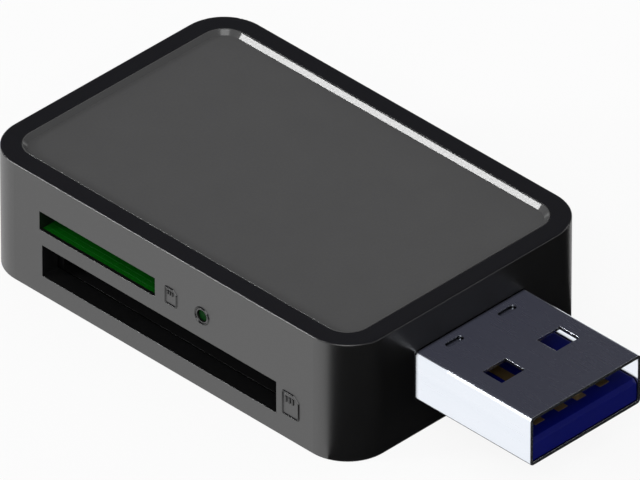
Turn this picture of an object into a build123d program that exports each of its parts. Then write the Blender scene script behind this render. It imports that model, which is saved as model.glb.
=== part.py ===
from build123d import *
import os

# A pocket card reader with a fixed plug, in millimetres.
# X runs along the plug, Z is up, both card slots open on the -Y side,
# and the origin is the centre of the underside.

# Housing: one moulded tub
BODY_LENGTH = 40.0
BODY_WIDTH = 26.5
BODY_HEIGHT = 10.9
CORNER_RADIUS = 3.75
WALL = 1.65
FLOOR = 1.2
RIM_EDGE_RADIUS = 0.13

# Lid: a dished panel dropped into the mouth of the tub
LID_THICKNESS = 1.2
LID_RECESS = 0.36
LID_LAND = 0.08
LID_GAP = 0.04

# Circuit board
BOARD_TOP = 6.05
BOARD_THICKNESS = 0.8
BOARD_GAP = 0.35

# Bosses below the board, posts above it and the pins that join them
BOSS_DIAMETER = 3.0
BOSS_INSET_X = 2.1
BOSS_INSET_Y = 2.6
PIN_DIAMETER = 1.6
PIN_REACH = 2.0
PIN_FIT = 0.02
HOLE_PLAY = 0.1
BORE_SPARE = 0.3
POST_SEAT_GAP = 0.03

# Ribs under the lid that hold the board's long edges down
HOLD_RIB_LENGTH = 3.0
HOLD_RIB_WIDTH = 0.8
HOLD_RIB_INSET = 1.2
HOLD_RIB_SPACING = 14.0

# Wide slot for the large card, below the board
LARGE_CARD_WIDTH = 24.0
LARGE_CARD_THICKNESS = 2.1
LARGE_SLOT_SIDE_PLAY = 0.75
LARGE_SLOT_HEIGHT = 2.9
LARGE_SLOT_BOTTOM = 1.8
LARGE_SLOT_X = -0.45

# Socket behind the wide slot
LARGE_CARD_SIDE_PLAY = 0.25
LARGE_CARD_LIFT = 0.45
LARGE_SILL_RISE = 0.18
LARGE_SIDE_WALL = 1.0
LARGE_REAR_WALL = 1.6
LARGE_LIP = 1.0
LARGE_FLOOR_GAP = 0.1
LARGE_FRONT_GAP = 0.2
LARGE_BACK_ROOM = 1.0
LARGE_LEAD_IN_DEPTH = 1.2
LARGE_LEAD_IN_RISE = 0.25
LARGE_COVER_GAP = 0.05
LARGE_COVER_SKIRT = 1.6
LARGE_COVER_SETBACK = 0.2
LARGE_CONTACT_PITCH = 2.5
LARGE_LAST_PITCH = 1.7
LARGE_PITCH_COUNT = 7
LARGE_CONTACT_WIDTH = 1.0
LARGE_CONTACT_SHEET = 0.2
LARGE_CONTACT_REACH = 5.6
LARGE_CONTACT_RISE = 0.55
LARGE_CONTACT_DROP = 0.28
LARGE_LEAF_HEIGHT = 0.8
LARGE_LEAF_REACH = 6.0
LARGE_LEAF_BULGE = 0.35
LARGE_LEAF_POCKET = 0.6

# Narrow slot for the small card, on the board
SMALL_CARD_WIDTH = 11.0
SMALL_CARD_THICKNESS = 1.0
SMALL_SLOT_SIDE_PLAY = 0.815
SMALL_SLOT_HEIGHT = 1.72
SMALL_SLOT_X = -7.155
TAB_SKIN = 0.3
TAB_GAP = 0.06

# Socket behind the narrow slot
SMALL_CARD_SIDE_PLAY = 0.2
SMALL_CARD_LIFT = 0.1
SMALL_BASE_FLOOR = 0.35
SMALL_SIDE_RAIL = 0.9
SMALL_REAR_WALL = 1.2
SMALL_FRONT_GAP = 0.1
SMALL_CARD_STOP = 13.5
SMALL_LEAD_IN_DEPTH = 0.9
SMALL_LEAD_IN_RISE = 0.27
SMALL_COVER_SETBACK = 0.15
SMALL_CONTACT_PITCH = 1.1
SMALL_CONTACT_COUNT = 8
SMALL_CONTACT_WIDTH = 0.6
SMALL_CONTACT_SHEET = 0.15
SMALL_CONTACT_REACH = 3.3
SMALL_CONTACT_RISE = 0.4
SMALL_CONTACT_FOOT = 0.9
SMALL_DETECT_OFFSET = 1.2

# A fold that turns by no more degrees than this has one crease, a sharper one has two
GENTLE_TURN = 60.0

# Values that both sockets share
COVER_SHEET = 0.2
COVER_BEND = 0.3
COVER_FIT = 0.02
SPRING_BEND = 0.25
SPRING_FIT = 0.03
SPRING_SLOT_PLAY = 0.1
PEG_DIAMETER = 0.7
PEG_SINK = 0.1
LARGE_PEG_BACK = 5.6
SMALL_PEG_FRONT = 3.2
SNAP_LENGTH = 1.4
SNAP_HEIGHT = 0.4
SNAP_PLAY = 0.08
SNAP_BACK = 3.5
SNAP_SPACING = 8.0

# Plug
PLUG_WIDTH = 12.0
PLUG_HEIGHT = 4.5
PLUG_SHEET = 0.3
PLUG_EDGE_RADIUS = 0.4
PLUG_REACH = 12.3
PLUG_TAIL = 5.7
PLUG_DROP = 0.6
PLUG_HOLE_FIT = 0.05
PLUG_SEAM = 0.06
PLUG_SEAM_KEY = 1.1
PLUG_SEAM_KEY_LENGTH = 2.2
PLUG_SEAM_KEY_FLARE = 0.3
PLUG_SEAM_KEY_FRONT = 8.0
WINDOW_LENGTH = 2.1
WINDOW_WIDTH = 2.5
WINDOW_FRONT = 4.8
WINDOW_Y = 2.95
DIMPLE_LENGTH = 1.8
DIMPLE_WIDTH = 0.6
DIMPLE_DEPTH = 0.2
DIMPLE_WALL = 0.15
DIMPLE_X = 1.1
DIMPLE_Y = 2.85
LEG_LENGTH = 1.2
LEG_RISE = 0.3
LEG_PLAY = 0.1
BARB_LENGTH = 1.0
BARB_HEIGHT = 1.2
BARB_PROUD = 0.15
BARB_GAP = 0.1

# Tongue and block inside the plug
INSULATOR_FIT = 0.05
TONGUE_THICKNESS = 1.9
TONGUE_SETBACK = 0.1
TONGUE_CHAMFER = 0.3
CAVITY_DEPTH = 11.75

# Contacts on the tongue
FRONT_CONTACT_INNER_Y = 1.0
FRONT_CONTACT_OUTER_Y = 3.5
FRONT_CONTACT_WIDTH = 1.0
FRONT_CONTACT_SHEET = 0.25
FRONT_CONTACT_SETBACK = 1.4
FRONT_CONTACT_INNER_FLAT = 8.2
FRONT_CONTACT_OUTER_FLAT = 5.9
FRONT_CONTACT_PROUD = 0.03
FRONT_CONTACT_DIVE = 1.0
FRONT_CONTACT_RISER = 0.25
TAIL_WIDTH = 0.5
TAIL_OUTER_SHIFT = 0.25
TAIL_LENGTH = 1.2
REAR_CONTACT_PITCH = 2.0
REAR_CONTACT_WIDTH = 0.6
REAR_CONTACT_SHEET = 0.2
REAR_CONTACT_REACH = 2.7
REAR_CONTACT_HUMP = 0.5
REAR_CONTACT_TIP = 0.15
CONTACT_BEND = 0.3

# Board edge round the plug, and the seat that the plug is pushed into
NOTCH_SIDE_GAP = 0.2
NOTCH_REAR_GAP = 0.6
CRADLE_LENGTH = 1.2
CRADLE_CHEEK = 0.8
CRADLE_FIT = 0.06
CRADLE_BOARD_GAP = 0.25
CRADLE_BACK = 3.0
STOP_THICKNESS = 0.8
STOP_WIDTH = 9.0
STOP_OVERLAP = 0.85

# Light pipe and lamp beside the narrow slot
LAMP_X = 4.25
LAMP_RISE = 0.75
PIPE_DIAMETER = 1.0
PIPE_FIT = 0.03
PIPE_RECESS = 0.2
PIPE_FLANGE = 0.2
PIPE_FLANGE_LENGTH = 0.3
LAMP_WIDTH = 2.0
LAMP_DEPTH = 1.2
LAMP_GAP = 0.15
LAMP_LENS_RADIUS = 0.45
LAMP_LENS_DEPTH = 0.12

# Chips on the board: places are the middles of their footprints
CONTROLLER_PLACE = (6.2, -0.5)
CONTROLLER_SIZE = 7.0
CONTROLLER_HEIGHT = 1.4
CONTROLLER_PITCH = 0.8
CONTROLLER_SIDE_COUNT = 8
REGULATOR_PLACE = (9.5, -8.3)
REGULATOR_LENGTH = 2.9
REGULATOR_WIDTH = 1.6
REGULATOR_HEIGHT = 1.1
REGULATOR_PITCH = 0.95
CHIP_STANDOFF = 0.1
CHIP_EDGE = 0.15
LEAD_REACH = 1.0
LEAD_FOOT = 0.5
LEAD_GAP = 0.01
LEAD_SHEET = 0.15
LEAD_WIDTH = 0.35
REGULATOR_LEAD_WIDTH = 0.4
ARRAY_X = 11.75
ARRAY_SPACING = 4.4
ARRAY_LENGTH = 2.5
ARRAY_WIDTH = 1.0
ARRAY_HEIGHT = 0.5
CRYSTAL_PLACE = (4.0, 7.2)
CRYSTAL_LENGTH = 3.2
CRYSTAL_WIDTH = 2.5
CRYSTAL_BASE = 0.45
CRYSTAL_CAP = 0.35
CRYSTAL_LEDGE = 0.2

# Small parts with metal end caps
BULK_PLACE = (9.8, 6.6)
BULK_SIZE = (3.2, 1.6, 1.6)
CAPACITOR_SIZE = (1.6, 0.8, 0.8)
RESISTOR_SIZE = (1.6, 0.8, 0.45)
END_CAP = 0.3
END_CAP_RISE = 0.04
CAPACITOR_START = (-12.0, 5.2)
CAPACITOR_SPACING = 2.4
CAPACITOR_COUNT = 6
RESISTOR_START = (-12.0, 7.4)
RESISTOR_SPACING = 2.4
RESISTOR_COUNT = 4

# Planes and edges that several pieces share
end_x = BODY_LENGTH / 2
side_y = BODY_WIDTH / 2
inner_x = end_x - WALL
inner_y = side_y - WALL
lid_top = BODY_HEIGHT - LID_RECESS
lid_under = lid_top - LID_THICKNESS
board_under = BOARD_TOP - BOARD_THICKNESS
board_front = -inner_y + BOARD_GAP
board_back = inner_y - BOARD_GAP
boss_x = inner_x - BOSS_INSET_X
boss_y = inner_y - BOSS_INSET_Y
boss_places = [(x, y) for x in (-boss_x, boss_x) for y in (-boss_y, boss_y)]
pin_top = BOARD_TOP + PIN_REACH

# Wide slot and its socket
large_slot_half = LARGE_CARD_WIDTH / 2 + LARGE_SLOT_SIDE_PLAY
large_slot_top = LARGE_SLOT_BOTTOM + LARGE_SLOT_HEIGHT
large_channel_half = LARGE_CARD_WIDTH / 2 + LARGE_CARD_SIDE_PLAY
large_half = large_channel_half + LARGE_SIDE_WALL
large_under = FLOOR + LARGE_FLOOR_GAP
large_channel_floor = LARGE_SLOT_BOTTOM + LARGE_SILL_RISE
large_lip_under = large_channel_floor + LARGE_CARD_THICKNESS + LARGE_CARD_LIFT
large_cover_top = board_under - LARGE_COVER_GAP
large_top = large_cover_top - COVER_SHEET
large_front = -inner_y + LARGE_FRONT_GAP
large_back = inner_y - LARGE_BACK_ROOM
large_stop = large_back - LARGE_REAR_WALL
large_peg_y = large_back - LARGE_PEG_BACK
large_peg_x = large_half - LARGE_SIDE_WALL / 2
large_run_z = large_channel_floor - LARGE_CONTACT_DROP
large_tail_y = large_back + LARGE_CONTACT_SHEET / 2 + SPRING_FIT
large_foot_y = board_back - SPRING_FIT
large_leaf_z = (large_channel_floor + large_lip_under) / 2

# Narrow slot and its socket
small_slot_half = SMALL_CARD_WIDTH / 2 + SMALL_SLOT_SIDE_PLAY
small_channel_half = SMALL_CARD_WIDTH / 2 + SMALL_CARD_SIDE_PLAY
small_half = small_channel_half + SMALL_SIDE_RAIL
small_channel_floor = BOARD_TOP + SMALL_BASE_FLOOR
small_top = small_channel_floor + SMALL_CARD_THICKNESS + SMALL_CARD_LIFT
small_front = board_front + SMALL_FRONT_GAP
small_stop = -side_y + SMALL_CARD_STOP
small_back = small_stop + SMALL_REAR_WALL
small_peg_y = small_front + SMALL_PEG_FRONT
small_peg_x = small_half - SMALL_SIDE_RAIL / 2
small_run_z = BOARD_TOP + SMALL_CONTACT_SHEET / 2

# Plug
plug_front = end_x + PLUG_REACH
plug_rear = end_x - PLUG_TAIL
plug_mid = BOARD_TOP - PLUG_DROP
plug_half = PLUG_WIDTH / 2
plug_under = plug_mid - PLUG_HEIGHT / 2
plug_top = plug_mid + PLUG_HEIGHT / 2
tongue_top = plug_under + PLUG_SHEET + TONGUE_THICKNESS
block_front = plug_front - CAVITY_DEPTH
notch_edge = plug_rear - NOTCH_REAR_GAP
leg_end = plug_rear - LEG_LENGTH
tail_end = notch_edge - TAIL_LENGTH
lamp_z = BOARD_TOP + LAMP_RISE


def block(x_limits, y_limits, z_limits):
    """Box between a low and a high limit on each axis."""
    limits = (x_limits, y_limits, z_limits)
    middle = [(low + high) / 2 for low, high in limits]
    size = [high - low for low, high in limits]
    return Pos(*middle) * Box(*size)


def about(middle, half):
    """Pair of limits at the same distance each side of a middle."""
    return (middle - half, middle + half)


def plate(length, width, radius, low, high):
    """Upright prism on a rounded rectangle centred on the Z axis."""
    return Pos(0, 0, low) * extrude(RectangleRounded(length, width, radius), high - low)


def post(place, diameter, low, high):
    """Round upright post."""
    return Pos(place[0], place[1], (low + high) / 2) * Cylinder(diameter / 2, high - low)


def folded_line(points, bend):
    """Centre line with every square corner cut across, at a bend's distance from it."""
    line = [Vector(*point) for point in points]
    folded = [line[0]]
    for before, corner, after in zip(line, line[1:], line[2:]):
        run_in = (corner - before).normalized()
        run_out = (after - corner).normalized()
        if run_in.get_angle(run_out) > GENTLE_TURN:
            folded += [corner - run_in * bend, corner + run_out * bend]
        else:
            folded.append(corner)
    return folded + [line[-1]]


def strip(plane, points, sheet, width, bend):
    """Sheet strip folded along a centre line that is drawn in the given plane."""
    line = folded_line(points, bend)
    runs = [(after - before).normalized() for before, after in zip(line, line[1:])]
    sides = [run.rotate(Axis.Z, 90) for run in runs]
    folds = [before + after for before, after in zip(sides, sides[1:])]
    mitres = [sides[0]] + [fold * (2 / fold.dot(fold)) for fold in folds] + [sides[-1]]
    upper = [point + mitre * (sheet / 2) for point, mitre in zip(line, mitres)]
    lower = [point - mitre * (sheet / 2) for point, mitre in zip(line, mitres)]
    section = make_face(Polyline(*upper, *reversed(lower), close=True))
    return plane * extrude(section, width / 2, both=True)


def base_housing():
    """Tub with the slots, the plug's hole, the board's bosses and the plug's seat."""
    outside = plate(BODY_LENGTH, BODY_WIDTH, CORNER_RADIUS, 0, BODY_HEIGHT)
    outside = fillet(outside.edges().group_by(Axis.Z)[-1], RIM_EDGE_RADIUS)
    tub = outside - plate(2 * inner_x, 2 * inner_y, CORNER_RADIUS - WALL, FLOOR, BODY_HEIGHT)
    through_front = (-side_y, -inner_y)
    tub -= block(
        about(LARGE_SLOT_X, large_slot_half), through_front, (LARGE_SLOT_BOTTOM, large_slot_top)
    )
    tub -= block(
        about(SMALL_SLOT_X, small_slot_half), through_front, (BOARD_TOP, BOARD_TOP + SMALL_SLOT_HEIGHT)
    )
    # The board's tab reaches into this pocket, behind a thin skin under the slot
    tub -= block(
        about(SMALL_SLOT_X, small_slot_half),
        (-side_y + TAB_SKIN, -inner_y),
        (board_under - TAB_GAP, BOARD_TOP),
    )
    hole = RectangleRounded(
        PLUG_WIDTH + 2 * PLUG_HOLE_FIT, PLUG_HEIGHT + 2 * PLUG_HOLE_FIT, PLUG_EDGE_RADIUS + PLUG_HOLE_FIT
    )
    tub -= Plane.YZ.offset(inner_x) * (Pos(0, plug_mid, 0) * extrude(hole, WALL))
    pipe_hole = extrude(Circle(PIPE_DIAMETER / 2 + PIPE_FIT), WALL)
    tub -= Plane.XZ.offset(inner_y) * (Pos(LAMP_X, lamp_z, 0) * pipe_hole)
    for place in boss_places:
        tub += post(place, BOSS_DIAMETER, FLOOR, board_under)
        tub += post(place, PIN_DIAMETER, board_under, pin_top)
    return tub + plug_seat()


def plug_seat():
    """Cradle under the plug's tail and the wall that stops it when it is pushed in."""
    cradle_x = (inner_x - CRADLE_BACK, inner_x - CRADLE_BACK + CRADLE_LENGTH)
    cheek = plug_half + CRADLE_FIT
    outer = cheek + CRADLE_CHEEK
    cradle = block(cradle_x, (-outer, outer), (FLOOR, board_under - CRADLE_BOARD_GAP))
    cradle -= block(cradle_x, (-cheek, cheek), (plug_under - CRADLE_FIT, board_under))
    stop_front = plug_rear - CRADLE_FIT
    stop = block(
        (stop_front - STOP_THICKNESS, stop_front),
        (-STOP_WIDTH / 2, STOP_WIDTH / 2),
        (FLOOR, plug_under + STOP_OVERLAP),
    )
    return [cradle, stop]


def lid_panel():
    """Dished panel with hollow posts that press on to the tub's pins."""
    edge = WALL + LID_GAP
    length = BODY_LENGTH - 2 * edge
    width = BODY_WIDTH - 2 * edge
    radius = CORNER_RADIUS - edge
    inset = LID_LAND + LID_RECESS
    panel = plate(length, width, radius, lid_under, BODY_HEIGHT)
    field = RectangleRounded(length - 2 * inset, width - 2 * inset, radius - inset)
    panel -= Pos(0, 0, lid_top) * extrude(field, LID_RECESS, taper=-45)
    foot = BOARD_TOP + POST_SEAT_GAP
    for place in boss_places:
        panel += post(place, BOSS_DIAMETER, foot, lid_under)
        panel -= post(place, PIN_DIAMETER + 2 * PIN_FIT, foot, pin_top + BORE_SPARE)
    for x in about(0, HOLD_RIB_SPACING / 2):
        panel += block(
            about(x, HOLD_RIB_LENGTH / 2),
            about(board_back - HOLD_RIB_INSET, HOLD_RIB_WIDTH / 2),
            (foot, lid_under),
        )
    panel += block(
        about(HOLD_RIB_SPACING, HOLD_RIB_WIDTH / 2),
        about(board_front + HOLD_RIB_INSET + HOLD_RIB_LENGTH / 2, HOLD_RIB_LENGTH / 2),
        (foot, lid_under),
    )
    return panel


def circuit_board():
    """Board with the slot's tab, the plug's notch and the locating holes."""
    edge = WALL + BOARD_GAP
    board = plate(
        BODY_LENGTH - 2 * edge, BODY_WIDTH - 2 * edge, CORNER_RADIUS - edge, board_under, BOARD_TOP
    )
    thickness = (board_under, BOARD_TOP)
    board += block(
        about(SMALL_SLOT_X, small_slot_half - TAB_GAP),
        (-side_y + TAB_SKIN + TAB_GAP, board_front + CORNER_RADIUS - edge),
        thickness,
    )
    notch_half = plug_half + NOTCH_SIDE_GAP
    board -= block((notch_edge, end_x), (-notch_half, notch_half), thickness)
    leg_y = plug_half - PLUG_SHEET / 2
    for y in (-leg_y, leg_y):
        board -= block(
            (leg_end - LEG_PLAY, notch_edge), about(y, PLUG_SHEET / 2 + LEG_PLAY), thickness
        )
    for place in boss_places:
        board -= post(place, PIN_DIAMETER + 2 * HOLE_PLAY, *thickness)
    for x in about(LARGE_SLOT_X, large_peg_x):
        board -= post((x, large_peg_y), PEG_DIAMETER + 2 * SPRING_FIT, *thickness)
    for x in about(SMALL_SLOT_X, small_peg_x):
        board -= post((x, small_peg_y), PEG_DIAMETER + 2 * SPRING_FIT, *thickness)
    return board


def plug_tube(side_inset, radius):
    """Prism along X on the plug's rounded outline, drawn in by an inset."""
    outline = RectangleRounded(PLUG_WIDTH - 2 * side_inset, PLUG_HEIGHT - 2 * side_inset, radius)
    return Plane.YZ.offset(plug_rear) * (Pos(0, plug_mid, 0) * extrude(outline, plug_front - plug_rear))


def plug_seam():
    """Slit along the underside where the folded edges meet in a keyed joint."""
    key_front = plug_front - PLUG_SEAM_KEY_FRONT
    key_rear = key_front - PLUG_SEAM_KEY_LENGTH
    points = [
        (plug_rear - PLUG_SHEET, 0),
        (key_rear, 0),
        (key_rear - PLUG_SEAM_KEY_FLARE, PLUG_SEAM_KEY),
        (key_front + PLUG_SEAM_KEY_FLARE, PLUG_SEAM_KEY),
        (key_front, 0),
        (plug_front + PLUG_SHEET, 0),
    ]
    middle = Plane.XY.offset(plug_under + PLUG_SHEET / 2)
    return strip(middle, points, PLUG_SEAM, 2 * PLUG_SHEET, PLUG_SEAM)


def plug_shell():
    """Folded steel shell: windows, locking dimples, solder legs, barbs and the seam."""
    shell = plug_tube(0, PLUG_EDGE_RADIUS) - plug_tube(PLUG_SHEET, PLUG_EDGE_RADIUS - PLUG_SHEET)
    for x, y in [(DIMPLE_X, DIMPLE_Y), (DIMPLE_X, -DIMPLE_Y)]:
        place = Pos(end_x + x, y, 0) * Rot(0, 0, 90)
        lump = SlotOverall(DIMPLE_LENGTH + 2 * DIMPLE_WALL, DIMPLE_WIDTH + 2 * DIMPLE_WALL)
        dent = SlotOverall(DIMPLE_LENGTH, DIMPLE_WIDTH)
        inside_top = plug_top - PLUG_SHEET
        shell += place * (Pos(0, 0, inside_top - DIMPLE_DEPTH) * extrude(lump, DIMPLE_DEPTH))
        shell -= place * (Pos(0, 0, plug_top - DIMPLE_DEPTH) * extrude(dent, DIMPLE_DEPTH))
    window_x = (plug_front - WINDOW_FRONT - WINDOW_LENGTH, plug_front - WINDOW_FRONT)
    for y in (-WINDOW_Y, WINDOW_Y):
        for z in ((plug_top - PLUG_SHEET, plug_top), (plug_under, plug_under + PLUG_SHEET)):
            shell -= block(window_x, about(y, WINDOW_WIDTH / 2), z)
    shell -= plug_seam()
    for side in (-1, 1):
        leg_y = side * (plug_half - PLUG_SHEET / 2)
        shell += block(
            (leg_end, plug_rear), about(leg_y, PLUG_SHEET / 2), (board_under - LEG_RISE, BOARD_TOP + LEG_RISE)
        )
        shell += plug_barb(side)
    return shell


def plug_barb(side):
    """Wedge pressed out of the shell's side that catches behind the housing's wall."""
    root = side * (plug_half - PLUG_SHEET / 2)
    catch_x = inner_x - BARB_GAP
    wedge = Polyline(
        (catch_x - BARB_LENGTH, root),
        (catch_x - BARB_LENGTH, side * plug_half),
        (catch_x, side * (plug_half + BARB_PROUD)),
        (catch_x, root),
        close=True,
    )
    return Pos(0, 0, BOARD_TOP) * extrude(make_face(wedge), BARB_HEIGHT)


def front_contact_points(flat):
    """Centre line of a tongue contact: flat for a given length, then sunk into the tongue."""
    tip = plug_front - FRONT_CONTACT_SETBACK
    flat_z = tongue_top + FRONT_CONTACT_PROUD - FRONT_CONTACT_SHEET / 2
    sunk_z = tongue_top - FRONT_CONTACT_DIVE
    dive = tip - flat
    return [(tip, flat_z), (dive, flat_z), (dive - FRONT_CONTACT_DIVE, sunk_z), (plug_rear, sunk_z)]


def front_tail_points():
    """Centre line of a tongue contact's tail: out of the block, up and on to the board."""
    sunk_z = tongue_top - FRONT_CONTACT_DIVE
    foot_z = BOARD_TOP + FRONT_CONTACT_SHEET / 2
    riser = plug_rear - FRONT_CONTACT_RISER
    return [(plug_rear + TAIL_WIDTH, sunk_z), (riser, sunk_z), (riser, foot_z), (tail_end, foot_z)]


def front_contact(y, grow=0):
    """Tongue contact at one of the four standard places; grow gives its channel.

    The outer two dive early, so that they pass under the second row.
    """
    flat = FRONT_CONTACT_INNER_FLAT
    shift = 0
    if abs(y) == FRONT_CONTACT_OUTER_Y:
        flat = FRONT_CONTACT_OUTER_FLAT
        shift = -TAIL_OUTER_SHIFT if y > 0 else TAIL_OUTER_SHIFT
    sheet = FRONT_CONTACT_SHEET + 2 * grow
    width = FRONT_CONTACT_WIDTH + 2 * grow
    blade = strip(Plane.XZ.offset(-y), front_contact_points(flat), sheet, width, CONTACT_BEND)
    tail = strip(
        Plane.XZ.offset(-(y + shift)), front_tail_points(), sheet, TAIL_WIDTH + 2 * grow, CONTACT_BEND
    )
    return blade + tail


def rear_contact(y, grow=0):
    """Sprung contact of the second row; grow gives its channel."""
    run_z = BOARD_TOP + REAR_CONTACT_SHEET / 2
    tip = block_front + REAR_CONTACT_REACH
    hump = (block_front + tip) / 2
    points = [
        (tail_end, run_z),
        (block_front + REAR_CONTACT_HUMP, run_z),
        (hump, run_z + REAR_CONTACT_HUMP),
        (tip, tongue_top + REAR_CONTACT_TIP + REAR_CONTACT_SHEET / 2),
    ]
    return strip(
        Plane.XZ.offset(-y),
        points,
        REAR_CONTACT_SHEET + 2 * grow,
        REAR_CONTACT_WIDTH + 2 * grow,
        CONTACT_BEND,
    )


front_contact_places = [
    -FRONT_CONTACT_OUTER_Y,
    -FRONT_CONTACT_INNER_Y,
    FRONT_CONTACT_INNER_Y,
    FRONT_CONTACT_OUTER_Y,
]
rear_contact_places = [REAR_CONTACT_PITCH * step for step in range(-2, 3)]


def plug_insulator():
    """Moulded block and tongue, with a channel for each contact."""
    half = plug_half - PLUG_SHEET - INSULATOR_FIT
    low = plug_under + PLUG_SHEET + INSULATOR_FIT
    high = plug_top - PLUG_SHEET - INSULATOR_FIT
    tongue = block((plug_rear, plug_front - TONGUE_SETBACK), (-half, half), (low, tongue_top))
    nose = tongue.edges().filter_by(Axis.Y).group_by(Axis.X)[-1].sort_by(Axis.Z)[-1]
    tongue = chamfer(nose, TONGUE_CHAMFER)
    moulding = tongue + block((plug_rear, block_front), (-half, half), (low, high))
    for y in front_contact_places:
        moulding -= front_contact(y, SPRING_FIT)
    for y in rear_contact_places:
        moulding -= rear_contact(y, SPRING_FIT)
    return moulding


def large_contact_x():
    """Places of the wide socket's contacts: an even row, then one close beside it."""
    span = LARGE_PITCH_COUNT * LARGE_CONTACT_PITCH + LARGE_LAST_PITCH
    first = LARGE_SLOT_X - span / 2
    row = [first + LARGE_CONTACT_PITCH * step for step in range(LARGE_PITCH_COUNT + 1)]
    return row + [row[-1] + LARGE_LAST_PITCH]


def large_contact(x, grow=0):
    """Spring of the wide socket: foot under the board, down the back, then a sprung nose."""
    foot_z = board_under - LARGE_CONTACT_SHEET / 2
    nose_y = large_stop - LARGE_CONTACT_REACH
    knee_y = large_stop - LARGE_CONTACT_RISE
    points = [
        (large_foot_y, foot_z),
        (large_tail_y, foot_z),
        (large_tail_y, large_run_z),
        (knee_y, large_run_z),
        ((knee_y + 2 * nose_y) / 3, large_channel_floor + LARGE_CONTACT_RISE),
        (nose_y, large_channel_floor),
    ]
    return strip(
        Plane.YZ.offset(x),
        points,
        LARGE_CONTACT_SHEET + 2 * grow,
        LARGE_CONTACT_WIDTH + 2 * grow,
        SPRING_BEND,
    )


def large_leaf(side, grow=0):
    """Sprung leaf beside the wide card, on edge, with a tail up to the board."""
    rest_x = LARGE_SLOT_X + side * (large_channel_half + LARGE_LEAF_POCKET / 2)
    bulge_x = LARGE_SLOT_X + side * (large_channel_half - LARGE_LEAF_BULGE)
    tip_y = large_stop - LARGE_LEAF_REACH
    sheet = LARGE_CONTACT_SHEET + 2 * grow
    points = [
        (rest_x, large_foot_y),
        (rest_x, large_stop - LARGE_LEAF_BULGE),
        (bulge_x, large_stop - LARGE_LEAF_REACH / 2),
        (rest_x, tip_y),
    ]
    leaf = strip(Plane.XY.offset(large_leaf_z), points, sheet, LARGE_LEAF_HEIGHT + 2 * grow, SPRING_BEND)
    tail = block(
        about(rest_x, sheet / 2),
        (large_back + SPRING_FIT, large_foot_y),
        (large_leaf_z, board_under),
    )
    return leaf + tail


def snap_places(front):
    """Places along Y of the nubs that the covers snap over."""
    return [front + SNAP_BACK, front + SNAP_BACK + SNAP_SPACING]


def cut_shoulders(base):
    """Socket base with its top side edges cut to lie inside the cover's folds."""
    return chamfer(base.edges().filter_by(Axis.Y).group_by(Axis.Z)[-1], COVER_BEND)


def cut_lead_in(base, rise, depth):
    """Socket base whose front sill slopes gently up into the channel."""
    sill = base.edges().filter_by(Axis.X).group_by(Axis.Y)[0].sort_by(Axis.Z)[1]
    front = base.faces().sort_by(Axis.Y)[0]
    return chamfer(sill, rise, depth, reference=front)


def large_socket_base():
    """Moulded card channel of the wide socket, with spring slots and locating pegs."""
    outer = about(LARGE_SLOT_X, large_half)
    depth = (large_front, large_back)
    base = cut_shoulders(block(outer, depth, (large_under, large_top)))
    channel = about(LARGE_SLOT_X, large_channel_half)
    inside = (large_front, large_stop)
    base -= block(channel, inside, (large_channel_floor, large_lip_under))
    base -= block(about(LARGE_SLOT_X, large_channel_half - LARGE_LIP), inside, (large_lip_under, large_top))
    base = cut_lead_in(base, LARGE_LEAD_IN_RISE, LARGE_LEAD_IN_DEPTH)
    nose_room = large_stop - LARGE_CONTACT_REACH - SPRING_BEND
    for x in large_contact_x():
        slot_half = LARGE_CONTACT_WIDTH / 2 + SPRING_SLOT_PLAY
        base -= block(about(x, slot_half), (nose_room, large_stop), (large_under, large_channel_floor))
        base -= large_contact(x, SPRING_FIT)
    for side in (-1, 1):
        wall_x = LARGE_SLOT_X + side * (large_channel_half + LARGE_LEAF_POCKET / 2)
        base -= block(
            about(wall_x, LARGE_LEAF_POCKET / 2),
            (large_stop - LARGE_LEAF_REACH - SPRING_BEND, large_stop),
            about(large_leaf_z, LARGE_LEAF_HEIGHT / 2 + SPRING_SLOT_PLAY),
        )
        base -= large_leaf(side, SPRING_FIT)
        peg = (LARGE_SLOT_X + side * large_peg_x, large_peg_y)
        base += post(peg, PEG_DIAMETER, large_top, BOARD_TOP - PEG_SINK)
        for y in snap_places(large_front):
            base += block(
                about(LARGE_SLOT_X + side * large_half, COVER_SHEET),
                about(y, SNAP_LENGTH / 2),
                about(large_top - LARGE_COVER_SKIRT / 2, SNAP_HEIGHT / 2),
            )
    return base


def folded_cover(middle_x, half, top, low, y_limits):
    """Sheet cover folded down over both sides of a socket."""
    side = half + COVER_FIT + COVER_SHEET / 2
    roof = top - COVER_SHEET / 2
    points = [
        (middle_x - side, low),
        (middle_x - side, roof),
        (middle_x + side, roof),
        (middle_x + side, low),
    ]
    depth_middle = (y_limits[0] + y_limits[1]) / 2
    return strip(Plane.XZ.offset(-depth_middle), points, COVER_SHEET, y_limits[1] - y_limits[0], COVER_BEND)


def snap_windows(middle_x, half, z, front):
    """Openings in a cover's sides for the nubs of its base."""
    windows = []
    for side in (-1, 1):
        for y in snap_places(front):
            windows.append(
                block(
                    about(middle_x + side * half, 2 * COVER_SHEET),
                    about(y, SNAP_LENGTH / 2 + SNAP_PLAY),
                    about(z, SNAP_HEIGHT / 2 + SNAP_PLAY),
                )
            )
    return windows


def large_socket_cover():
    """Steel cover of the wide socket, between its base and the board."""
    depth = (large_front + LARGE_COVER_SETBACK, large_back - LARGE_COVER_SETBACK)
    cover = folded_cover(LARGE_SLOT_X, large_half, large_cover_top, large_top - LARGE_COVER_SKIRT, depth)
    cover -= snap_windows(LARGE_SLOT_X, large_half, large_top - LARGE_COVER_SKIRT / 2, large_front)
    for x in about(LARGE_SLOT_X, large_peg_x):
        cover -= post((x, large_peg_y), PEG_DIAMETER + 2 * HOLE_PLAY, large_top, large_cover_top)
    return cover


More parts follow.
